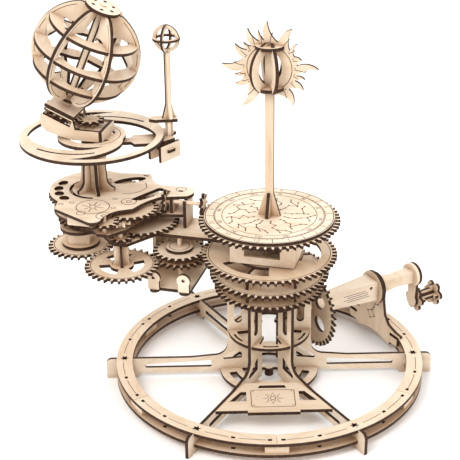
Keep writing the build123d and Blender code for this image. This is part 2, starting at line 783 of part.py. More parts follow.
def earth_post():
    """Six flared fins round the nested tubes, with a ring that ties their tops."""
    inner = MOON_TUBE_R + 0.4
    profile = make_face(
        Polyline((inner, PLATFORM), (19, PLATFORM), (19, PLATFORM + 3))
        + ThreePointArc((19, PLATFORM + 3), (14, PLATFORM + 6), (12, PLATFORM + 12))
        + Line((12, PLATFORM + 12), (11, POST_TOP - 12))
        + ThreePointArc((11, POST_TOP - 12), (12.5, POST_TOP - 7), (16, POST_TOP - SHEET))
        + Polyline((16, POST_TOP - SHEET), (inner, POST_TOP - SHEET), (inner, PLATFORM))
    )
    fins = [at(EARTH, piece) for piece in around(fin(profile), LEG_ANGLES)]
    cap = at(EARTH, tube(16, inner, POST_TOP - SHEET, POST_TOP))
    return fins + [cap]


def arbor_shaft():
    plane = facing(0, 58, ARBOR_Z)
    return on_arm(extrude(plane * Circle(ARBOR_R), RELAY[0] - 24 + 2.5 - 58))


def arbor_pinions():
    face = gear_face(ARBOR_TEETH, ARBOR_PHASE, ARBOR_R)
    places = (pitch_radius(DIAL_TEETH), RELAY[0] - 24)
    return [on_arm(facing_plate(face, 0, place, ARBOR_Z)) for place in places]


def relay_gear():
    return gear_at(RELAY, 33, 0, LEVEL_2)


def relay_shaft():
    return [
        pin_at(RELAY, PLATE_LOWER, LEVEL_5 + SHEET),
        gear_at(RELAY, 12, 0, LEVEL_3B),
        gear_at(RELAY, 24, RELAY_UPPER_PHASE, LEVEL_4),
    ]


def branch_gear():
    """A gear with three broad windows between its spokes."""
    face = gear_face(31, 0, PIN_R)
    for i in range(3):
        face -= sector(10.5, 20, 120 * i + 58, 37)
    return at(BRANCH, slab(face, LEVEL_0))


def branch_shaft():
    """The shaft, its four-board post, and the two pinions."""
    low = LEVEL_0 + SHEET
    high = PLATE_LOWER - 1
    profile = polygon((PIN_R, low), (8.5, low), (6.5, low + 4), (6.5, high), (PIN_R, high))
    post = [at(BRANCH, piece) for piece in around(fin(profile, 2.4), (20, 110, 200, 290))]
    return post + [
        pin_at(BRANCH, LEVEL_0 - 2, LEVEL_5 + SHEET),
        gear_at(BRANCH, 8, BRANCH_PINION_PHASE, LEVEL_2),
        gear_at(BRANCH, 8, 0, LEVEL_5),
    ]


def transfer_gear_lower():
    return gear_at(TRANSFER, 22, TRANSFER_LOWER_PHASE, LEVEL_0)


def transfer_gear_upper():
    """The gear beside the drum, its round cap, spacer and shaft."""
    return [
        gear_at(TRANSFER, 22, 0, LEVEL_1),
        at(TRANSFER, tube(12, PIN_R, LEVEL_1 + SHEET, LEVEL_1 + 2 * SHEET)),
        at(TRANSFER, tube(9, PIN_R, LEVEL_0 + SHEET, LEVEL_1)),
        pin_at(TRANSFER, CARRIAGE_Z, PLATE_LOWER + SHEET),
    ]


def outer_gear_lower():
    return gear_at(OUTER, 28, OUTER_PHASE, LEVEL_0)


def outer_gear_upper():
    """The upper gear over a flange and a four-board hub, on the shaft with its pinion."""
    hub_low = LEVEL_0 + 2 * SHEET
    hub_high = PLATE_LOWER - 1 - SHEET
    board = block((6.5, 9.5), (-9.5, 6.5), (hub_low, hub_high))
    boards = [at(OUTER, piece) for piece in around(board, (10, 100, 190, 280))]
    return boards + [
        at(OUTER, tube(17, PIN_R, LEVEL_0 + SHEET, hub_low)),
        at(OUTER, tube(18, PIN_R, hub_high, hub_high + SHEET)),
        gear_at(OUTER, 17, 0, LEVEL_2),
        gear_at(OUTER, 8, 0, LEVEL_3),
        pin_at(OUTER, LEVEL_0 - 2, LEVEL_3 + SHEET),
    ]


def idler_pinion():
    return [gear_at(IDLER, 8, IDLER_PHASE, LEVEL_5), pin_at(IDLER, PLATE_MIDDLE, LEVEL_5 + SHEET)]


def moon_drive_gear():
    return [
        gear_at(MOON_DRIVE, MOON_TEETH[0], 0, LEVEL_6),
        gear_at(MOON_DRIVE, 8, MOON_PINION_PHASE, LEVEL_5),
        pin_at(MOON_DRIVE, LEVEL_5, PLATFORM),
    ]


def counter_gear():
    return [gear_at(COUNTER, 11, COUNTER_PHASE, LEVEL_6), pin_at(COUNTER, PLATE_MIDDLE, PLATFORM)]


# ---------------------------------------------------------------- Earth and Moon

def at_earth(shape):
    """A shape built on the axis in the world's directions, moved to the Earth's upright axis."""
    x, y = polar(EARTH_U, ARM_AZ)
    return Pos(x, y, 0) * shape


def moon_wheel():
    return gear_at(EARTH, MOON_TEETH[1], MOON_WHEEL_PHASE, LEVEL_6, MOON_TUBE_R)


def moon_tube():
    return at(EARTH, tube(MOON_TUBE_R, MOUNT_TUBE_R + FIT, LEVEL_6, RING_PLATE_Z - 1.5))


def phase_disc():
    """A toothed disc, its teeth cut short to pass the Moon's drive shaft."""
    return at(EARTH, slab(gear_face(41, 0, MOON_TUBE_R, addendum=0.7), LEVEL_7, THIN))


def in_moon(shape):
    """A shape built with the Moon on its x axis, turned and moved to the Earth's axis."""
    return at_earth(turned(shape, MOON_AZ))


# Outline of the small curved board at the end of the Moon's arm, its points joined straight.
MOON_SHELF = (
    (49, 27), (57, 19), (71, 15), (75, 8), (69, 0), (73, -8), (63, -15), (57, -10), (55, 10),
)
CARRIAGE_AT = (67.5, -13.0)
CARRIAGE_TURN = -48.0       # direction that the Moon's end boards face, from the Moon's direction


def moon_arm():
    """A level board under the orbit ring, the shelf at its end and two end boards that hang from it."""
    top = MOON_BOARD + SHEET
    hub = tube(9.5, MOON_TUBE_R, POST_TOP + 1.5, RING_PLATE_Z - 1.5)
    board = polygon((0, -5), (34, -5), (37, -11), (60, -11), (60, 11), (37, 11), (34, 5), (0, 5))
    board -= Circle(9.5)
    shelf = slab(polygon(*MOON_SHELF), top)
    end_face = Rectangle(24, 15) - Pos(0, 1.5) * Rectangle(8, SHEET)
    place = Pos(*CARRIAGE_AT, 0) * Rot(0, 0, CARRIAGE_TURN)
    ends = []
    for distance in (0, -13):
        ends.append(place * facing_plate(end_face, 0, distance, top - 7.6))
    rung = place * block((-17, 3.5), (-4, 4), (top - 7.6, top - 4.6))
    cross = Pos(MOON_REACH, 0) * (Rectangle(7, SHEET) + Rectangle(SHEET, 7))
    stub = slab(cross, top + SHEET, MOON_FLANGE - top - SHEET)
    flange = slab(polygon((51, -2), (56, -5), (76, -5), (76, 5), (56, 5), (51, 2)), MOON_FLANGE)
    boards = [hub, slab(board, MOON_BOARD), shelf] + ends + [rung, stub, flange]
    return [in_moon(piece) for piece in boards]


def moon_post():
    """A cross of two strips that flares at its foot."""
    low = MOON_FLANGE + SHEET
    high = MOON_Z - MOON_R
    side = polygon((SHEET / 2, low), (6, low), (2.4, low + 13), (2.4, high), (SHEET / 2, high))
    whole = polygon((-6, low), (6, low), (2.4, low + 13), (2.4, high), (-2.4, high), (-2.4, low + 13))
    pieces = [fin(whole), turned(fin(side), 90), turned(fin(side), -90)]
    return [in_moon(Pos(MOON_REACH, 0, 0) * Rot(0, 0, 20) * piece) for piece in pieces]


def moon_rings():
    """Three crossed rings: one whole upright, one upright in halves, one level in quarters."""
    ring = disc(MOON_R, MOON_R - 3)
    thick = 2.0
    along_x = Rectangle(3 * MOON_R, thick)
    along_y = Rectangle(thick, 3 * MOON_R)
    whole = extrude(Plane.XZ * ring, thick / 2, both=True)
    halves = extrude(Plane.YZ * (ring - along_y), thick / 2, both=True)
    quarters = extrude(ring - along_x - along_y, thick / 2, both=True)
    place = Pos(MOON_REACH, 0, MOON_Z) * Rot(0, 0, -25)
    return [in_moon(place * piece) for piece in (whole, halves, quarters)]


def mount_gear():
    return gear_at(EARTH, 30, MOUNT_PHASE, LEVEL_3B, MOUNT_TUBE_R)


def mount_tube():
    return at_earth(tube(MOUNT_TUBE_R, ROD_R + FIT, LEVEL_3B, DRIVE_Z - 1.5))


def winding(*stations):
    """A smooth curve through stations given as angle and radius."""
    return Spline([polar(radius, angle) for angle, radius in stations])


def crescent():
    """A broad arm that leaves the outer band and winds inwards to the hub ring, with a thin slot."""
    outer = winding((73, 59), (100, 50), (124, 42), (141, 37), (172, 28))
    inner = winding((134, 27), (97, 34.5), (60, 41), (30, 49), (-4, 59))
    along_band = ThreePointArc(inner @ 1, polar(59, 34), outer @ 0)
    face = make_face(outer + Line(outer @ 1, inner @ 0) + inner + along_band)
    slot_line = winding((40, 54), (67, 48.5), (89, 45), (104, 42.5))
    return face - trace(slot_line, 2.2)


def orbit_ring():
    """An outer band and a hub ring joined by two crescents, with a bar across to the tube."""
    low = RING_PLATE_Z
    high = RING_PLATE_Z + SHEET
    plate = tube(ORBIT_OUTER, ORBIT_INNER, low, high)
    plate += tube(ORBIT_HUB[1], ORBIT_HUB[0], low, high)
    for angle in (174, -6):
        plate += turned(slab(crescent(), low), angle)
    plate += turned(slab(Rectangle(2 * ORBIT_HUB[0] + 6, 15), low), HOUSE_AZ)
    plate -= tube(MOUNT_TUBE_R, 0, low, high)
    return at_earth(plate)


def in_house(shape):
    return at_earth(turned(shape, HOUSE_AZ))


def globe_plane(distance):
    """A plane square to the globe's axis, this far above its centre along the axis."""
    lean = math.radians(TILT)
    along = (math.sin(lean), 0, math.cos(lean))
    origin = (GLOBE_X + distance * along[0], 0, GLOBE_Z + distance * along[2])
    return Plane(origin=origin, x_dir=(math.cos(lean), 0, -math.sin(lean)), z_dir=along)


def on_globe(face, distance, thickness=SHEET):
    """A plate square to the globe's axis, its lower face at the distance."""
    return extrude(globe_plane(distance) * face, thickness)


GEAR_AT = -62.3             # under face of the globe's gear along its axis
UPPER_BEARING_AT = -56.0
LOWER_BEARING_AT = -69.0


def globe_bracket():
    """Two side boards on the orbit ring, the leaning bearing plates, a deck and an end wall."""
    floor = RING_PLATE_Z + SHEET
    deck_top = floor + 8.6
    outline = polygon(
        (-34.5, 251.3),
        (-11, 241.1),
        (-9.3, floor + 9.5),
        (12.5, floor + 9.5),
        (12.5, floor),
        (-12, floor),
        (-25, floor + 3),
        (-36, floor + 6.5),
        (-40.5, floor + 11.5),
        (-41, 241.5),
    )
    slot = extrude(globe_plane(GEAR_AT - 1.5) * Rectangle(26.6, 40), SHEET + 3)
    sides = []
    for y in (-14.2, 14.2):
        side = Pos(0, y, 0) * fin(outline)
        sides.append(side - slot)
    upper = on_globe(Rectangle(27, 31.4) - Circle(2.5 + FIT), UPPER_BEARING_AT)
    lower = on_globe(Pos(-5, 0) * Rectangle(20, 25.2) - Circle(2.5 + FIT), LOWER_BEARING_AT)
    deck = slab(Pos(2.5, 0) * Rectangle(19.8, 25.2) - Circle(MOUNT_TUBE_R), deck_top - SHEET)
    wall = block((12.6, 15.6), (-15.7, 15.7), (floor, floor + 9.5))
    return [in_house(piece) for piece in sides + [upper, lower, deck, wall]]


def globe_drive():
    """The innermost rod, its gear under the middle plate and the pinion beside the globe's gear."""
    rod = at(EARTH, tube(ROD_R, 0, LEVEL_3, DRIVE_Z + SHEET + 1))
    low = gear_at(EARTH, 8, ROD_PHASE, LEVEL_3, ROD_R)
    high = at_earth(slab(gear_face(10, GLOBE_DRIVE_PHASE, ROD_R), DRIVE_Z))
    return [rod, low, high]


CAP_AT = 43.0               # under face of the globe's upper cap along its axis
GLOBE_LOW = -45.0           # where the ribs end below
AXLE_FOOT = -72.0           # the lower end of the globe's axle
AXLE_R = 2.5
PARALLELS = (-22.0, -1.5, 20.5)
PARALLEL_R = 46.0           # radius of the sphere that the parallels' edges lie on
RIB_ANGLES = [60 * i + 12 for i in range(6)]

# Inner edge of a rib: latitude in degrees and distance from the globe's centre.
NARROW_COAST = (
    (50, 29), (38, 37), (24, 38.5), (10, 41), (-8, 39), (-25, 41), (-42, 38.5), (-58, 33),
)
BROAD_COAST = (
    (50, 21), (40, 27), (32, 36), (16, 39.5), (2, 36.5), (-14, 35), (-28, 40), (-45, 39.5), (-60, 30),
)


def globe_axle():
    """The leaning rod that the globe turns on, the strip over it, its gear and the two polar caps."""
    rod = on_globe(Circle(AXLE_R), AXLE_FOOT, CAP_AT + SHEET + 1 - AXLE_FOOT)
    strip = on_globe(Rectangle(7, SHEET) - Circle(AXLE_R), GLOBE_LOW, CAP_AT - GLOBE_LOW)
    wheel = on_globe(gear_face(16, GLOBE_GEAR_PHASE, AXLE_R), GEAR_AT)
    upper = disc(15.3, AXLE_R)
    for angle in RIB_ANGLES:
        upper -= Rot(0, 0, angle + 30) * Pos(9.5, 0) * Circle(1.7)
    caps = [on_globe(upper, CAP_AT), on_globe(disc(7, AXLE_R), GLOBE_LOW - SHEET)]
    return [in_house(piece) for piece in [rod, strip, wheel] + caps]


def globe_rib(coast):
    """A half hoop cut off flat at both ends, its inner edge a coastline, notched for the parallels."""
    top_angle = math.degrees(math.asin(CAP_AT / GLOBE_R))
    low_angle = math.degrees(math.asin(GLOBE_LOW / GLOBE_R))
    high_end = polar(GLOBE_R, top_angle)
    low_end = polar(GLOBE_R, low_angle)
    shore = Spline([polar(radius, angle) for angle, radius in coast])
    profile = make_face(
        ThreePointArc(low_end, (GLOBE_R, 0), high_end)
        + Polyline(high_end, (4, CAP_AT), shore @ 0)
        + shore
        + Polyline(shore @ 1, (5, GLOBE_LOW), low_end)
    )
    for height in PARALLELS:
        lap = parallel_radii(height)[1]
        profile -= Pos(lap / 2, height + SHEET / 2) * Rectangle(lap, SHEET)
    return fin(profile)


def parallel_radii(height):
    """Mean inner radius, lap and outer radius of a parallel whose lower face is at the height."""
    outer = math.sqrt(PARALLEL_R ** 2 - max(abs(height), abs(height + SHEET)) ** 2)
    return (outer - 11, outer - 4, outer)


def place_on_globe(shape):
    return in_house(globe_plane(0).location * shape)


def globe_rib_pieces():
    """Six ribs with two coastlines in turn."""
    pieces = []
    for i, angle in enumerate(RIB_ANGLES):
        coast = BROAD_COAST if i % 2 else NARROW_COAST
        pieces.append(place_on_globe(turned(globe_rib(coast), angle)))
    return pieces


def coast_ring(mean, phase):
    """An opening whose edge winds in and out like a coastline."""
    points = []
    for i in range(48):
        angle = 7.5 * i
        wave = 2.2 * math.sin(math.radians(3 * angle + phase)) + 1.2 * math.sin(math.radians(8 * angle))
        points.append(polar(mean + wave, angle))
    return polygon(*points)


def globe_parallels():
    """Flat rings let into the ribs from outside."""
    pieces = []
    for height in PARALLELS:
        mean, lap, outer = parallel_radii(height)
        face = disc(outer) - coast_ring(mean, 4 * height)
        cut = Pos((lap + outer) / 2 + 1, 0) * Rectangle(outer - lap + 2, SHEET)
        for angle in RIB_ANGLES:
            face -= Rot(0, 0, angle) * cut
        pieces.append(place_on_globe(slab(face, height)))
    return pieces


# ---------------------------------------------------------------- write the nodes

def spindle():
    return tube(SPINDLE_R, 0, TIE_DISCS[1], DIAL_Z + 2 * SHEET)


NODES = {
    "ring_upper": upper_ring,
    "ring_lower": lambda: slab(ring_face(), LOWER_RING_TOP - SHEET),
    "ring_spacers": ring_spacers,
    "base_legs": lambda: around(fin(leg_profile()), LEG_ANGLES),
    "hub_floor_disc": floor_disc,
    "sign_plate": sign_plate,
    "tie_discs": tie_discs,
    "bearing_disc": lambda: slab(disc(39, SPINDLE_R), UPRIGHT_TOP),
    "spindle": spindle,
    "dial_gear": dial_gear,
    "dial_face": lambda: slab(disc(DIAL_FACE_R, SPINDLE_R), DIAL_Z + SHEET),
    "sun_post": sun_post,
    "sun_rays": sun_rays,
    "sun_ribs": sun_ribs,
    "crank_inner_bearing": crank_inner_bearing,
    "crank_cover": crank_cover,
    "crank_bracket": crank_bracket,
    "drum_core": drum_core,
    "drum_gear_lower": lambda: drum_gear(0),
    "drum_gear_middle": lambda: drum_gear(1),
    "drum_gear_upper": lambda: drum_gear(2),
    "crank_shaft": crank_shaft,
    "crank_gear": crank_gear,
    "crank_arm": crank_arm,
    "crank_knob": crank_knob,
    "arm_hub_box": arm_hub_box,
    "arm_plate_lower": arm_plate_lower,
    "arm_plate_middle": arm_plate_middle,
    "arm_plate_top": arm_plate_top,
    "arm_blocks": arm_blocks,
    "arm_carriage": arm_carriage,
    "earth_post": earth_post,
    "arbor_shaft": arbor_shaft,
    "arbor_pinions": arbor_pinions,
    "relay_gear": relay_gear,
    "relay_shaft": relay_shaft,
    "branch_gear": branch_gear,
    "branch_shaft": branch_shaft,
    "transfer_gear_lower": transfer_gear_lower,
    "transfer_gear_upper": transfer_gear_upper,
    "outer_gear_lower": outer_gear_lower,
    "outer_gear_upper": outer_gear_upper,
    "idler_pinion": idler_pinion,
    "moon_drive_gear": moon_drive_gear,
    "counter_gear": counter_gear,
    "moon_wheel": moon_wheel,
    "moon_tube": moon_tube,
    "phase_disc": phase_disc,
    "moon_arm": moon_arm,
    "moon_post": moon_post,
    "moon_rings": moon_rings,
    "mount_gear": mount_gear,
    "mount_tube": mount_tube,
    "orbit_ring": orbit_ring,
    "globe_bracket": globe_bracket,
    "globe_drive": globe_drive,
    "globe_axle": globe_axle,
    "globe_ribs": globe_rib_pieces,
    "globe_parallels": globe_parallels,
}


def main():
    os.makedirs("parts", exist_ok=True)
    for name, build in NODES.items():
        save(name, build())


main()
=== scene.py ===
import json
import math
import random

import bpy
import numpy as np
from mathutils import Matrix, Vector


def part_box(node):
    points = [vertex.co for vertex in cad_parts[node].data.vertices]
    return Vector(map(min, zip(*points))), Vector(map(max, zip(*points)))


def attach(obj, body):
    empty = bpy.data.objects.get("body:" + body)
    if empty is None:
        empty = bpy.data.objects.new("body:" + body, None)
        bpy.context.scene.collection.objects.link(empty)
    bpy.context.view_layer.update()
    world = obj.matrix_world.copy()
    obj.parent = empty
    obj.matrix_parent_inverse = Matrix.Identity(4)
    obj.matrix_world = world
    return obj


# Looks of a laser-cut plywood orrery: procedural birch and burnt edges on the frame's own parts, and the
# engraved lines, marks and numbers that ride on them. Metres; drawings are in millimetres.

MM = 0.001
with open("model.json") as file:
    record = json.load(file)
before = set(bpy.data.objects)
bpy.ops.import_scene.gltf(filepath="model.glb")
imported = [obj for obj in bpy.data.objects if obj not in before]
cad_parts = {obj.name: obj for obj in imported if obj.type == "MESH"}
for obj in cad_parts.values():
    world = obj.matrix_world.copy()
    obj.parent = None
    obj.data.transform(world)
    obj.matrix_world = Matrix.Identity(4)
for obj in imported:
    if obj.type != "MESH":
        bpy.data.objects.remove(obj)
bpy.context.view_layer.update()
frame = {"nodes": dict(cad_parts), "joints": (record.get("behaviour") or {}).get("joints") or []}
nodes = frame["nodes"]
joint_at = {j["name"]: Vector(j["pos_m"]) for j in frame["joints"]}
joint_axis = {j["name"]: Vector(j["axis"]).normalized() for j in frame["joints"]}
EARTH = joint_at["moon_orbit"]
ARM_HEADING = math.degrees(math.atan2(EARTH.y, EARTH.x))
CRANK_HEADING = math.degrees(math.atan2(joint_axis["crank_turn"].y, joint_axis["crank_turn"].x))


# ---------------------------------------------------------------- shader helpers

class Graph:
    """Builds one node material step by step."""

    def __init__(self, name):
        self.material = bpy.data.materials.new(name)
        self.material.use_nodes = True
        self.tree = self.material.node_tree
        self.tree.nodes.clear()
        self.output = self.add("ShaderNodeOutputMaterial")

    def add(self, kind, **settings):
        node = self.tree.nodes.new(kind)
        for key, value in settings.items():
            setattr(node, key, value)
        return node

    def link(self, source, target):
        self.tree.links.new(source, target)

    def put(self, value, target):
        """Links a socket, or sets a plain value."""
        if isinstance(value, bpy.types.NodeSocket):
            self.link(value, target)
        else:
            target.default_value = value

    def attribute(self, name):
        return self.add("ShaderNodeAttribute", attribute_name=name)

    def scaled(self, vector, scale):
        node = self.add("ShaderNodeMapping")
        self.link(vector, node.inputs["Vector"])
        node.inputs["Scale"].default_value = scale
        return node.outputs["Vector"]

    def noise(self, vector, scale, detail=3.0, roughness=0.55, distortion=0.0):
        node = self.add("ShaderNodeTexNoise")
        self.link(vector, node.inputs["Vector"])
        node.inputs["Scale"].default_value = scale
        node.inputs["Detail"].default_value = detail
        node.inputs["Roughness"].default_value = roughness
        node.inputs["Distortion"].default_value = distortion
        return node.outputs["Fac"]

    def ramp(self, value, stops):
        node = self.add("ShaderNodeValToRGB")
        self.link(value, node.inputs["Fac"])
        elements = node.color_ramp.elements
        while len(elements) < len(stops):
            elements.new(0.5)
        for element, (position, colour) in zip(elements, stops):
            element.position = position
            element.color = colour if len(colour) == 4 else (*colour, 1)
        return node.outputs["Color"]

    def math(self, operation, first, second=0.0):
        node = self.add("ShaderNodeMath", operation=operation)
        self.put(first, node.inputs[0])
        self.put(second, node.inputs[1])
        return node.outputs[0]

    def mix(self, factor, first, second, blend="MIX"):
        node = self.add("ShaderNodeMix", data_type="RGBA", blend_type=blend)
        self.put(factor, node.inputs["Factor"])
        self.put(first, node.inputs["A"])
        self.put(second, node.inputs["B"])
        return node.outputs["Result"]

    def bump(self, height, strength, distance):
        node = self.add("ShaderNodeBump")
        self.link(height, node.inputs["Height"])
        node.inputs["Strength"].default_value = strength
        node.inputs["Distance"].default_value = distance
        return node.outputs["Normal"]

    def finish(self, colour, roughness, normal=None, sheen=0.0):
        shader = self.add("ShaderNodeBsdfPrincipled")
        self.put(colour, shader.inputs["Base Color"])
        self.put(roughness, shader.inputs["Roughness"])
        shader.inputs["Specular IOR Level"].default_value = 0.28
        shader.inputs["Sheen Weight"].default_value = sheen
        if normal is not None:
            self.link(normal, shader.inputs["Normal"])
        self.link(shader.outputs["BSDF"], self.output.inputs["Surface"])
        return self.material


def grey(level):
    return (level, level, level)


def birch_face():
    """Pale rotary-cut veneer: broad figure, fine fibres, short darker flecks, and a painted warm brown shade
    in corners and crevices.
    """
    g = Graph("birch_face")
    grain = g.attribute("grain").outputs["Vector"]
    tone = g.attribute("tone").outputs["Fac"]
    figure = g.noise(g.scaled(grain, (14, 60, 60)), 1.0, 3, 0.5, 1.2)
    fibre = g.noise(g.scaled(grain, (90, 1900, 1900)), 1.0, 3, 0.6)
    fleck = g.noise(g.scaled(grain, (260, 2600, 2600)), 1.0, 1, 0.5)
    base = g.ramp(
        figure,
        ((0.28, (0.70, 0.545, 0.39)), (0.5, (0.79, 0.655, 0.51)), (0.75, (0.84, 0.73, 0.60))),
    )
    fibres = g.ramp(fibre, ((0.3, grey(0.84)), (0.62, grey(1.0))))
    flecks = g.ramp(fleck, ((0.66, grey(1.0)), (0.8, (0.74, 0.62, 0.5))))
    colour = g.mix(0.8, base, fibres, "MULTIPLY")
    colour = g.mix(0.6, colour, flecks, "MULTIPLY")
    tones = g.ramp(tone, ((0.0, (0.86, 0.80, 0.74)), (0.5, (0.97, 0.95, 0.93)), (1.0, (1.0, 1.0, 1.0))))
    colour = g.mix(1.0, colour, tones, "MULTIPLY")
    # Painted shade: an ambient-occlusion node darkens corners, crevices and the places between parts with a
    # warm brown, standing in for shade.
    corner = g.add("ShaderNodeAmbientOcclusion", samples=4)
    corner.inputs["Distance"].default_value = 12 * MM
    shade = g.ramp(corner.outputs["AO"], ((0.25, (0.46, 0.31, 0.20)), (0.85, grey(1.0))))
    colour = g.mix(0.9, colour, shade, "MULTIPLY")
    rough = g.ramp(fibre, ((0.3, grey(0.62)), (0.7, grey(0.5))))
    return g.finish(colour, rough, g.bump(fibre, 0.25, 0.15 * MM))


def burnt_edge():
    """Laser-cut edge: scorched glue lines, lighter core ply, streaks down the cut."""
    g = Graph("burnt_edge")
    grain = g.attribute("grain").outputs["Vector"]
    split = g.add("ShaderNodeSeparateXYZ")
    g.link(g.attribute("depth").outputs["Vector"], split.inputs[0])
    plies = g.math("SINE", g.math("MULTIPLY", split.outputs[0], 2 * math.pi / (1.0 * MM)))
    plies = g.math("ADD", g.math("MULTIPLY", plies, 0.5), 0.5)
    streak = g.noise(g.scaled(grain, (700, 700, 60)), 1.0, 2, 0.6)
    broad = g.noise(g.scaled(grain, (45, 45, 45)), 1.0, 2, 0.5)
    scorch = g.math("ADD", g.math("MULTIPLY", plies, 0.35), g.math("MULTIPLY", streak, 0.65))
    colour = g.ramp(
        scorch,
        ((0.2, (0.010, 0.003, 0.001)), (0.5, (0.032, 0.011, 0.004)), (0.8, (0.12, 0.052, 0.022))),
    )
    patch = g.ramp(broad, ((0.35, grey(0.65)), (0.65, grey(1.0))))
    colour = g.mix(0.7, colour, patch, "MULTIPLY")
    return g.finish(colour, 0.68, g.bump(streak, 0.4, 0.2 * MM))


def engraved_line():
    """The shallow brown scorch of an engraving."""
    g = Graph("engraved_line")
    place = g.add("ShaderNodeTexCoord").outputs["Object"]
    burn = g.noise(place, 900, 2, 0.6)
    colour = g.ramp(burn, ((0.3, (0.035, 0.012, 0.005)), (0.7, (0.11, 0.048, 0.022))))
    return g.finish(colour, 0.8, g.bump(burn, 0.3, 0.1 * MM))


FACE = birch_face()
EDGE = burnt_edge()
LINE = engraved_line()


# ---------------------------------------------------------------- finish of the frame's own parts

def welded(mesh):
    """Vertex positions, and for each vertex the index of its place, so that split corners count as one."""
    place = np.empty(len(mesh.vertices) * 3)
    mesh.vertices.foreach_get("co", place)
    place = place.reshape(-1, 3)
    _, index = np.unique(np.round(place / (0.002 * MM)).astype(np.int64), axis=0, return_inverse=True)
    return place, index.ravel()


def piece_of_polygons(polygons, index):
    """Numbers the separate solids of a mesh and gives each polygon its number."""
    parent = list(range(index.max() + 1))

    def root(i):
        while parent[i] != i:
            parent[i] = parent[parent[i]]
            i = parent[i]
        return i

    for corners in polygons:
        first = root(index[corners[0]])
        for corner in corners[1:]:
            parent[root(index[corner])] = first
    names = {}
    return np.array([names.setdefault(root(index[corners[0]]), len(names)) for corners in polygons])


def main_direction(normals, areas):
    """The direction that most of a solid's flat area faces, and its share of the whole area."""
    flipped = normals * np.where((normals @ np.array([0.31, 0.57, 0.76]))[:, None] < 0, -1, 1)
    _, index = np.unique(np.round(flipped * 40).astype(int), axis=0, return_inverse=True)
    totals = np.bincount(index.ravel(), areas)
    best = totals.argmax()
    direction = flipped[index.ravel() == best].mean(0)
    return direction / np.linalg.norm(direction), totals[best] / areas.sum()


def flat_regions(normals, centres):
    """Groups polygons that lie in one plane."""
    keys = np.round(np.column_stack([normals * 60, (normals * centres).sum(1) / (0.05 * MM)])).astype(int)
    return np.unique(keys, axis=0, return_inverse=True)[1].ravel()


LEAST_SHEET_SHARE = 0.3  # of a solid's area that faces along its thickness, if it was cut from a sheet
EDGE_WIDTH = 3.6 * MM    # a side no wider than this is the sheet's own cut edge
EDGE_AREA = 60 * MM * MM  # a side smaller than this is one too
PALE = ("ring_spacers",)  # blocks that show a flat outer face, not a cut edge


def spots_of(polygons, chosen, place):
    """The corners of the chosen polygons."""
    return place[np.unique(np.concatenate([polygons[i] for i in chosen]))]


def grain_axes(corners, through):
    """Directions along and across a solid's longest way in its sheet, and through the sheet."""
    flat = corners - corners.mean(0)
    flat = flat - np.outer(flat @ through, through)
    along = np.linalg.svd(flat[:: max(1, len(flat) // 400)], full_matrices=False)[2][0]
    return np.stack([along, np.cross(through, along), through], 1)


def cut_edges(polygons, place, normals, centres, areas, mine, through):
    """The polygons of a solid that lie on the narrow cut edge of its sheet."""
    sides = np.flatnonzero(mine & (np.abs(normals @ through) < 0.9))
    found = []
    if len(sides) == 0:
        return found
    region = flat_regions(normals[sides], centres[sides])
    for r in range(region.max() + 1):
        members = sides[region == r]
        spots = spots_of(polygons, members, place)
        lengthwise = np.cross(normals[members[0]], through)
        width = np.ptp(spots @ lengthwise) if np.linalg.norm(lengthwise) > 0.1 else 0
        height = np.ptp(spots @ through)
        if min(width, height) < EDGE_WIDTH or areas[members].sum() < EDGE_AREA:
            found.extend(members)
    return found


def finish_node(name, obj, rng):
    """Gives each flat face birch, each narrow cut edge the burnt finish, and both their grain coordinates."""
    mesh = obj.data
    place, index = welded(mesh)
    polygons = [tuple(p.vertices) for p in mesh.polygons]
    normals = np.array([p.normal[:] for p in mesh.polygons])
    centres = np.array([p.center[:] for p in mesh.polygons])
    areas = np.array([p.area for p in mesh.polygons])
    piece = piece_of_polygons(polygons, index)
    is_edge = np.zeros(len(polygons), bool)
    grain = np.zeros((len(mesh.loops), 3), np.float32)
    depth = np.zeros((len(mesh.loops), 3), np.float32)
    tone = np.zeros(len(polygons), np.float32)
    loop_vertex = np.array([loop.vertex_index for loop in mesh.loops])
    loop_piece = np.concatenate([[piece[p.index]] * p.loop_total for p in mesh.polygons])
    for number in range(piece.max() + 1):
        mine = piece == number
        through, share = main_direction(normals[mine], areas[mine])
        corners = spots_of(polygons, np.flatnonzero(mine), place)
        offset = np.array([rng.uniform(0, 3) for _ in range(3)])
        loops = loop_piece == number
        local = place[loop_vertex[loops]] - corners.mean(0)
        grain[loops] = local @ grain_axes(corners, through) + offset
        depth[loops, 0] = local @ through
        tone[mine] = rng.uniform(0, 1)
        if share >= LEAST_SHEET_SHARE and name not in PALE:
            edges = cut_edges(polygons, place, normals, centres, areas, mine, through)
            is_edge[edges] = True
    mesh.materials.clear()
    mesh.materials.append(FACE)
    mesh.materials.append(EDGE)
    mesh.polygons.foreach_set("material_index", is_edge.astype(np.int32))
    mesh.attributes.new("grain", "FLOAT_VECTOR", "CORNER").data.foreach_set("vector", grain.ravel())
    mesh.attributes.new("depth", "FLOAT_VECTOR", "CORNER").data.foreach_set("vector", depth.ravel())
    mesh.attributes.new("tone", "FLOAT", "FACE").data.foreach_set("value", tone)
    mesh.update()


rng = random.Random(7)
for node_name in sorted(nodes):
    finish_node(node_name, nodes[node_name], rng)


# ---------------------------------------------------------------- engraving tools

class Sheet:
    """A flat surface to draw on: an origin and two directions in metres, with drawings in millimetres."""

    def __init__(self, origin, right, up):
        self.origin = Vector(origin)
        self.right = Vector(right).normalized()
        self.up = Vector(up).normalized()
        self.out = self.right.cross(self.up)

    def point(self, x, y):
        return self.origin + (self.right * x + self.up * y) * MM


def level(centre, z, heading=0.0):
    """A level surface seen from above, x along the heading."""
    angle = math.radians(heading)
    right = (math.cos(angle), math.sin(angle), 0)
    return Sheet((centre[0], centre[1], z), right, (-right[1], right[0], 0))


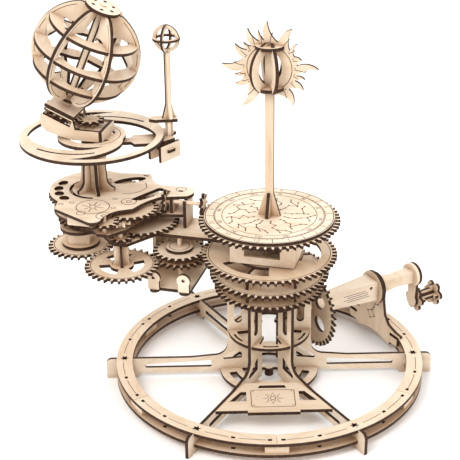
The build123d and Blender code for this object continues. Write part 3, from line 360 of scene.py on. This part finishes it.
def upright(azimuth, distance, z):
    """An upright surface that faces along the azimuth, its x to the right for who looks at it."""
    angle = math.radians(azimuth)
    out = Vector((math.cos(angle), math.sin(angle), 0))
    return Sheet(out * distance + Vector((0, 0, z)), (-out[1], out[0], 0), (0, 0, 1))


class Engraving:
    """Collects thin closed strips and patches on a body and turns them into one mesh."""

    PROUD = 0.05 * MM
    SUNK = 0.12 * MM
    SPREAD = 1.35

    def __init__(self, name, body, material=None):
        self.name = name
        self.body = body
        self.material = material or LINE
        self.vertices = []
        self.faces = []

    def strip(self, sheet, points, width=0.45, closed=False):
        """A line through the points; the burn spreads a little past the drawn width."""
        width *= self.SPREAD
        count = len(points)
        start = len(self.vertices)
        for i, (x, y) in enumerate(points):
            before = points[i - 1] if i or closed else points[0]
            after = points[(i + 1) % count] if i < count - 1 or closed else points[-1]
            dx, dy = after[0] - before[0], after[1] - before[1]
            size = math.hypot(dx, dy) or 1.0
            nx, ny = -dy / size * width / 2, dx / size * width / 2
            for side, height in ((1, self.PROUD), (-1, self.PROUD), (-1, -self.SUNK), (1, -self.SUNK)):
                spot = sheet.point(x + side * nx, y + side * ny) + sheet.out * height
                self.vertices.append(spot)
        last = count if closed else count - 1
        for i in range(last):
            a = start + 4 * i
            b = start + 4 * ((i + 1) % count)
            for k in range(4):
                self.faces.append((a + k, a + (k + 1) % 4, b + (k + 1) % 4, b + k))
        if not closed:
            self.faces.append((start + 3, start + 2, start + 1, start))
            end = start + 4 * (count - 1)
            self.faces.append((end, end + 1, end + 2, end + 3))

    def patch(self, sheet, points):
        """A filled outline."""
        count = len(points)
        start = len(self.vertices)
        for height in (self.PROUD, -self.SUNK):
            for x, y in points:
                self.vertices.append(sheet.point(x, y) + sheet.out * height)
        self.faces.append(tuple(range(start, start + count)))
        self.faces.append(tuple(range(start + 2 * count - 1, start + count - 1, -1)))
        for i in range(count):
            j = (i + 1) % count
            self.faces.append((start + i, start + count + i, start + count + j, start + j))

    def ring(self, sheet, centre, radius, width=0.45, steps=96):
        self.strip(sheet, circle(centre, radius, steps), width, closed=True)

    def dot(self, sheet, centre, radius, steps=10):
        self.patch(sheet, circle(centre, radius, steps))

    def build(self):
        mesh = bpy.data.meshes.new(self.name)
        mesh.from_pydata([v[:] for v in self.vertices], [], self.faces)
        mesh.materials.append(self.material)
        mesh.update()
        piece = bpy.data.objects.new(self.name, mesh)
        bpy.context.scene.collection.objects.link(piece)
        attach(piece, self.body)
        return piece


def polar(radius, angle):
    return (radius * math.cos(math.radians(angle)), radius * math.sin(math.radians(angle)))


def circle(centre, radius, steps=48, start=0.0, sweep=360.0):
    points = []
    spans = steps if sweep == 360.0 else steps - 1
    for i in range(steps):
        x, y = polar(radius, start + sweep * i / spans)
        points.append((centre[0] + x, centre[1] + y))
    return points


def ellipse(centre, wide, tall, steps=28):
    return [(centre[0] + wide * x, centre[1] + tall * y) for x, y in circle((0, 0), 1, steps)]


def rounded(x_half, y_half, corner, steps=5):
    """A rectangle's outline with round corners."""
    points = []
    for sx, sy, start in ((1, 1, 0), (-1, 1, 90), (-1, -1, 180), (1, -1, 270)):
        middle = (sx * (x_half - corner), sy * (y_half - corner))
        points += circle(middle, corner, steps, start, 90.0)
    return points


DIGITS = {
    "0": (((0, 0), (2, 0), (2, 4), (0, 4), (0, 0)),),
    "1": (((0.4, 3.2), (1.2, 4), (1.2, 0)),),
    "2": (((0, 4), (2, 4), (2, 2.2), (0, 0), (2, 0)),),
    "3": (((0, 4), (2, 4), (0.8, 2.3), (2, 1.4), (1.6, 0), (0, 0)),),
    "4": (((1.6, 0), (1.6, 4), (0, 1.3), (2.2, 1.3)),),
    "5": (((2, 4), (0, 4), (0, 2.3), (2, 2.3), (2, 0), (0, 0)),),
    "6": (((2, 4), (0, 2.4), (0, 0), (2, 0), (2, 2), (0, 2)),),
    "7": (((0, 4), (2, 4), (0.8, 0)),),
    "8": (((0, 0), (2, 0), (2, 4), (0, 4), (0, 0)), ((0, 2), (2, 2))),
    "9": (((0, 0), (2, 1.6), (2, 4), (0, 4), (0, 2), (2, 2)),),
}


def number_on_dial(engraving, sheet, text, radius, angle, height):
    """A number whose top points to the dial's middle, its foot on the radius."""
    unit = height / 4
    advance = 2.9 * unit
    s, c = math.sin(math.radians(angle)), math.cos(math.radians(angle))
    for i, digit in enumerate(text):
        shift = (i - (len(text) - 1) / 2) * advance - unit
        for stroke in DIGITS[digit]:
            points = []
            for x, y in stroke:
                across = shift + x * unit
                out = radius - y * unit
                points.append((out * c - across * s, out * s + across * c))
            engraving.strip(sheet, points, 0.3)


# ---------------------------------------------------------------- engravings

def top_of(name):
    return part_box(name)[1].z


def smooth(points, steps=8):
    """A curve that passes through the points (Catmull-Rom)."""
    padded = [points[0]] + list(points) + [points[-1]]
    curve = []
    for a, b, c, d in zip(padded, padded[1:], padded[2:], padded[3:]):
        for i in range(steps):
            t = i / steps
            curve.append(tuple(
                0.5 * (2 * b[k] + (c[k] - a[k]) * t + (2 * a[k] - 5 * b[k] + 4 * c[k] - d[k]) * t * t
                       + (3 * b[k] - a[k] - 3 * c[k] + d[k]) * t ** 3)
                for k in (0, 1)
            ))
    return curve + [points[-1]]


def arc(centre, radius, start, end):
    return circle(centre, radius, max(4, int(abs(end - start) / 3)), start, end - start)


def constellation(engraving, sheet, stars, width=0.5, star=0.9):
    """Stars as dots, joined by thin lines."""
    engraving.strip(sheet, stars, width)
    for spot in stars:
        engraving.dot(sheet, spot, star)


def dial():
    """Rings, a scale of twelfths and one of degrees with numbers, and twelve made-up constellations."""
    sheet = level((0, 0), top_of("dial_face"))
    marks = Engraving("dial_scale", "base")
    for radius, width in ((56.0, 0.5), (48.5, 0.4), (47.6, 0.3), (41.5, 0.4)):
        marks.ring(sheet, (0, 0), radius, width, 120)
    for i in range(12):
        marks.strip(sheet, [polar(48.5, 30 * i), polar(56, 30 * i)], 0.4)
        number_on_dial(marks, sheet, str(1 + (i + 3) % 12), 54.4, 30 * i + 15, 4.2)
        number_on_dial(marks, sheet, str(30 * (i + 1)), 46.4, 30 * i + 15, 2.9)
        for j in range(1, 6):
            if j != 3:
                marks.strip(sheet, [polar(48.5, 30 * i + 5 * j), polar(50, 30 * i + 5 * j)], 0.3)
    marks.build()
    stars = Engraving("dial_constellations", "base")
    for i in range(12):
        angle = 30 * i + 6
        reach = 14.0
        path = []
        while reach < 38:
            path.append(polar(reach, angle + rng.uniform(-8, 10)))
            reach += rng.uniform(3.5, 6.0)
        constellation(stars, sheet, path)
        side = polar(reach - 7, angle + 15)
        tail = polar(reach - 3, angle + 19)
        constellation(stars, sheet, [path[-2], side, tail])
    stars.build()


def platform():
    """Marks on the arm's top board, x along the arm."""
    sheet = level((0, 0), top_of("arm_plate_top"), ARM_HEADING)
    marks = Engraving("platform_marks", "arm")
    emblem = (149.0, 38.0)
    marks.ring(sheet, emblem, 14.5, 0.5)
    marks.ring(sheet, (emblem[0] + 5.5, emblem[1] + 14.8), 3.8, 0.4, 40)
    for angle in range(0, 360, 45):
        reach = 8.0 if angle % 90 else 10.0
        ray = (polar(4.2, angle), polar(reach, angle))
        marks.strip(sheet, [(emblem[0] + x, emblem[1] + y) for x, y in ray], 0.5)
    marks.ring(sheet, emblem, 3.0, 0.5, 36)
    for name, start, end in (("moon_drive_spin", -85, 215), ("counter_spin", 0, 360)):
        spot = along_arm(joint_at[name])
        marks.strip(sheet, arc(spot, 6.6, start, end), 0.5)
        marks.strip(sheet, circle(spot, 2.2, 24), 0.5, closed=True)
    marks.ring(sheet, (84.7, -15.5), 4.6, 0.45, 48)
    marks.strip(sheet, smooth([(120.5, -22), (116.5, -12), (119.6, -3), (125.1, 2.9), (133, 5.8)]), 0.5)
    for spot in ((135.6, 17.5), (131.0, 36.0), (170.0, 33.9), (178.3, 39.0)):
        marks.strip(sheet, ellipse(spot, 2.2, 1.5), 0.4, closed=True)
    marks.build()


def along_arm(place):
    """A point in the row frame as millimetres along and across the arm."""
    u = math.radians(ARM_HEADING)
    return (
        (place.x * math.cos(u) + place.y * math.sin(u)) / MM,
        (place.y * math.cos(u) - place.x * math.sin(u)) / MM,
    )


def sun_marks():
    """A circle and an inner flame line in each ray, on both faces of the ray plate."""
    middle = 0.297
    turn = -17.0
    root = 21.0
    rays = (
        (-3, 41), (18, 28), (37, 32), (57, 39), (86, 39), (105, 33), (120, 37), (136, 30), (151, 35),
        (175, 41), (194, 31), (209, 33), (233, 42), (301, 37), (325, 33), (342, 31),
    )
    marks = Engraving("sun_marks", "base")
    for facing, side in ((-90 + turn, 1), (90 + turn, -1)):
        sheet = upright(facing, 1.5 * MM, middle)
        marks.strip(sheet, arc((0, 0), 19.2, -74 if side > 0 else -76, 256), 0.45)
        for angle, reach in rays:
            shown = angle if side > 0 else 180 - angle
            bow = 3 * side
            end = root + 0.5 * (reach - root)
            marks.strip(sheet, smooth([
                polar(root, shown + bow), polar(0.5 * (root + end), shown + 0.6 * bow), polar(end, shown)
            ], 4), 0.4)
            marks.dot(sheet, polar(22.0, shown + 7), 0.5, 8)
    marks.build()


def base_marks():
    """Arcs along the upper ring, a frame and a plain star on the plate between the front legs."""
    sheet = level((0, 0), top_of("ring_upper"))
    marks = Engraving("base_marks", "base")
    for i in range(6):
        for start, end in ((3.5, 12.5), (16.5, 26.3), (33.7, 43.5), (47.5, 56.5)):
            marks.strip(sheet, arc((0, 0), 133.75, 60 * i + start, 60 * i + end), 0.4)
    plate = level((0, -0.0715), top_of("sign_plate"))
    outline = rounded(19.0, 13.2, 2.0)
    marks.strip(plate, outline, 0.45, closed=True)
    for x in (-16.8, 16.8):
        for y in (-11, 11):
            marks.dot(plate, (x, y), 0.6, 8)
    star = [polar(9 if i % 2 == 0 else 3.6, 22.5 * i) for i in range(16)]
    marks.strip(plate, star, 0.5, closed=True)
    marks.ring(plate, (0, 0), 2.4, 0.45, 32)
    marks.build()


def crank_marks():
    """Stripes on the housing's two upright sides and a dipper of seven stars on the bracket."""
    marks = Engraving("crank_marks", "base")
    axis = joint_axis["crank_turn"]
    up = Vector((0, 0, 1))
    near, far = 0.062, 0.1133
    near_half, far_half = 6.5 * MM, 9.5 * MM
    for side in (-1, 1):
        across = axis.cross(up) * side
        start = axis * near + across * near_half
        end = axis * far + across * far_half
        start.z = end.z = joint_at["crank_turn"].z
        right = (end - start) * side
        sheet = Sheet(start, right, up)
        for y, first, last in ((3.2, 16, 40), (1.1, 20, 43), (-1.1, 16, 43), (-3.2, 20, 45)):
            marks.strip(sheet, [(side * first, y), (side * last, y + 0.5)], 0.4)
    bracket = upright(CRANK_HEADING + 180, -0.1193, 0.0)
    stars = [(7.1, 40.5), (2.2, 39.6), (0.6, 35.5), (-2.5, 31.0), (-8.5, 28.0), (-5.0, 21.5), (1.6, 25.5)]
    constellation(marks, bracket, stars + [stars[3]])
    marks.build()


TRANSFER_CAP_TOP = 129.5 * MM


def gear_marks():
    """A thin circle inside the teeth of the broad gears."""
    marks = Engraving("drum_circles", "drum")
    for name, radius in (("drum_gear_upper", 54.0), ("drum_gear_middle", 47.4), ("drum_gear_lower", 43.6)):
        marks.ring(level((0, 0), top_of(name)), (0, 0), radius, 0.45, 120)
    marks.build()
    for name, body, joint, radius in (
        ("branch_gear", "branch", "branch_spin", 27.6),
        ("outer_gear_lower", "outer_wheels", "outer_spin", 24.4),
        ("transfer_gear_upper", "transfer", "transfer_spin", 9.0),
    ):
        marks = Engraving(name + "_circle", body)
        z = top_of(name) if name != "transfer_gear_upper" else TRANSFER_CAP_TOP
        marks.ring(level(joint_at[joint], z), (0, 0), radius, 0.45, 80)
        marks.build()


def globe_marks():
    """A fine line along the outer edge of each rib of the globe, on both its faces."""
    axis = joint_axis["globe_spin"]
    centre = joint_at["globe_spin"]
    lean = Vector((axis.x, axis.y, 0)).normalized()
    out = (lean - axis * lean.dot(axis)).normalized()
    side = axis.cross(out)
    marks = Engraving("globe_lines", "globe")
    for i in range(6):
        turn = math.radians(60 * i + 12)
        radial = out * math.cos(turn) + side * math.sin(turn)
        normal = axis.cross(radial)
        for face in (-1, 1):
            origin = centre + normal * face * 1.5 * MM
            sheet = Sheet(origin, radial * -face, axis)
            for start, end in ((-68, -34), (-22, -5), (7, 22), (32, 62)):
                marks.strip(sheet, [(-face * x, y) for x, y in arc((0, 0), 44.4, start, end)], 0.4)
    marks.build()


def orbit_marks():
    """An arc on the hub of the orbit ring."""
    marks = Engraving("orbit_ring_lines", "earth_mount")
    sheet = level(EARTH, top_of("orbit_ring"))
    marks.strip(sheet, arc((0, 0), 25.5, -70, 60), 0.4)
    marks.build()


for draw in (dial, platform, sun_marks, base_marks, crank_marks, gear_marks, globe_marks, orbit_marks):
    draw()


# ---------------------------------------------------------------- stage, light and camera

def studio():
    """A pale floor, a white surround and three soft lamps."""
    g = Graph("studio_floor")
    place = g.add("ShaderNodeTexCoord").outputs["Object"]
    cloud = g.noise(place, 3.0, 2)
    colour = g.ramp(cloud, ((0.3, grey(0.93)), (0.7, grey(0.96))))
    material = g.finish(colour, 0.9)
    mesh = bpy.data.meshes.new("studio_floor")
    half = 6.0
    drop = -0.0002
    corners = [(x * half, y * half, drop) for x, y in ((-1, -1), (1, -1), (1, 1), (-1, 1))]
    mesh.from_pydata(corners, [], [(0, 1, 2, 3)])
    mesh.materials.append(material)
    floor = bpy.data.objects.new("studio_floor", mesh)
    bpy.context.scene.collection.objects.link(floor)
    world = bpy.data.worlds.new("studio")
    world.use_nodes = True
    background = world.node_tree.nodes["Background"]
    background.inputs["Color"].default_value = (1.0, 0.99, 0.975, 1)
    background.inputs["Strength"].default_value = 1.0
    bpy.context.scene.world = world
    lamp("key", (-0.55, -0.75, 1.15), 9.0, 0.55, (1.0, 0.985, 0.965))
    lamp("fill", (0.9, -0.7, 0.6), 3.0, 0.9, (1.0, 0.98, 0.96))
    lamp("back", (0.1, 0.9, 1.1), 4.5, 0.9, (1.0, 1.0, 1.0))


def lamp(name, place, power, size, colour):
    light = bpy.data.lights.new(name, "AREA")
    light.energy = power
    light.size = size
    light.color = colour
    obj = bpy.data.objects.new(name, light)
    obj.location = place
    aim = Vector((-0.04, 0, 0.15)) - Vector(place)
    obj.rotation_euler = aim.to_track_quat("-Z", "Y").to_euler()
    bpy.context.scene.collection.objects.link(obj)


def camera():
    """A long lens from the front, a little above, rolled by less than a degree."""
    elevation = math.radians(25.78)
    azimuth = math.radians(-0.87)
    roll = math.radians(-0.70)
    back = Vector((
        math.sin(azimuth) * math.cos(elevation),
        -math.cos(azimuth) * math.cos(elevation),
        math.sin(elevation),
    ))
    right = Vector((math.cos(azimuth), math.sin(azimuth), 0))
    up = back.cross(right)
    target = right * -0.0345 + up * 0.1157 + Vector((0, 0, 0.020))
    data = bpy.data.cameras.new("camera")
    data.lens = 99.15
    data.sensor_width = 36
    obj = bpy.data.objects.new("camera", data)
    turned_right = right * math.cos(roll) + up * math.sin(roll)
    turned_up = up * math.cos(roll) - right * math.sin(roll)
    place = target + back * 1.167
    obj.matrix_world = Matrix((
        (turned_right[0], turned_up[0], back[0], place[0]),
        (turned_right[1], turned_up[1], back[1], place[1]),
        (turned_right[2], turned_up[2], back[2], place[2]),
        (0, 0, 0, 1),
    ))
    bpy.context.scene.collection.objects.link(obj)
    bpy.context.scene.camera = obj


studio()
camera()
bpy.context.scene.view_settings.view_transform = "Standard"
bpy.context.scene.view_settings.exposure = 0.05
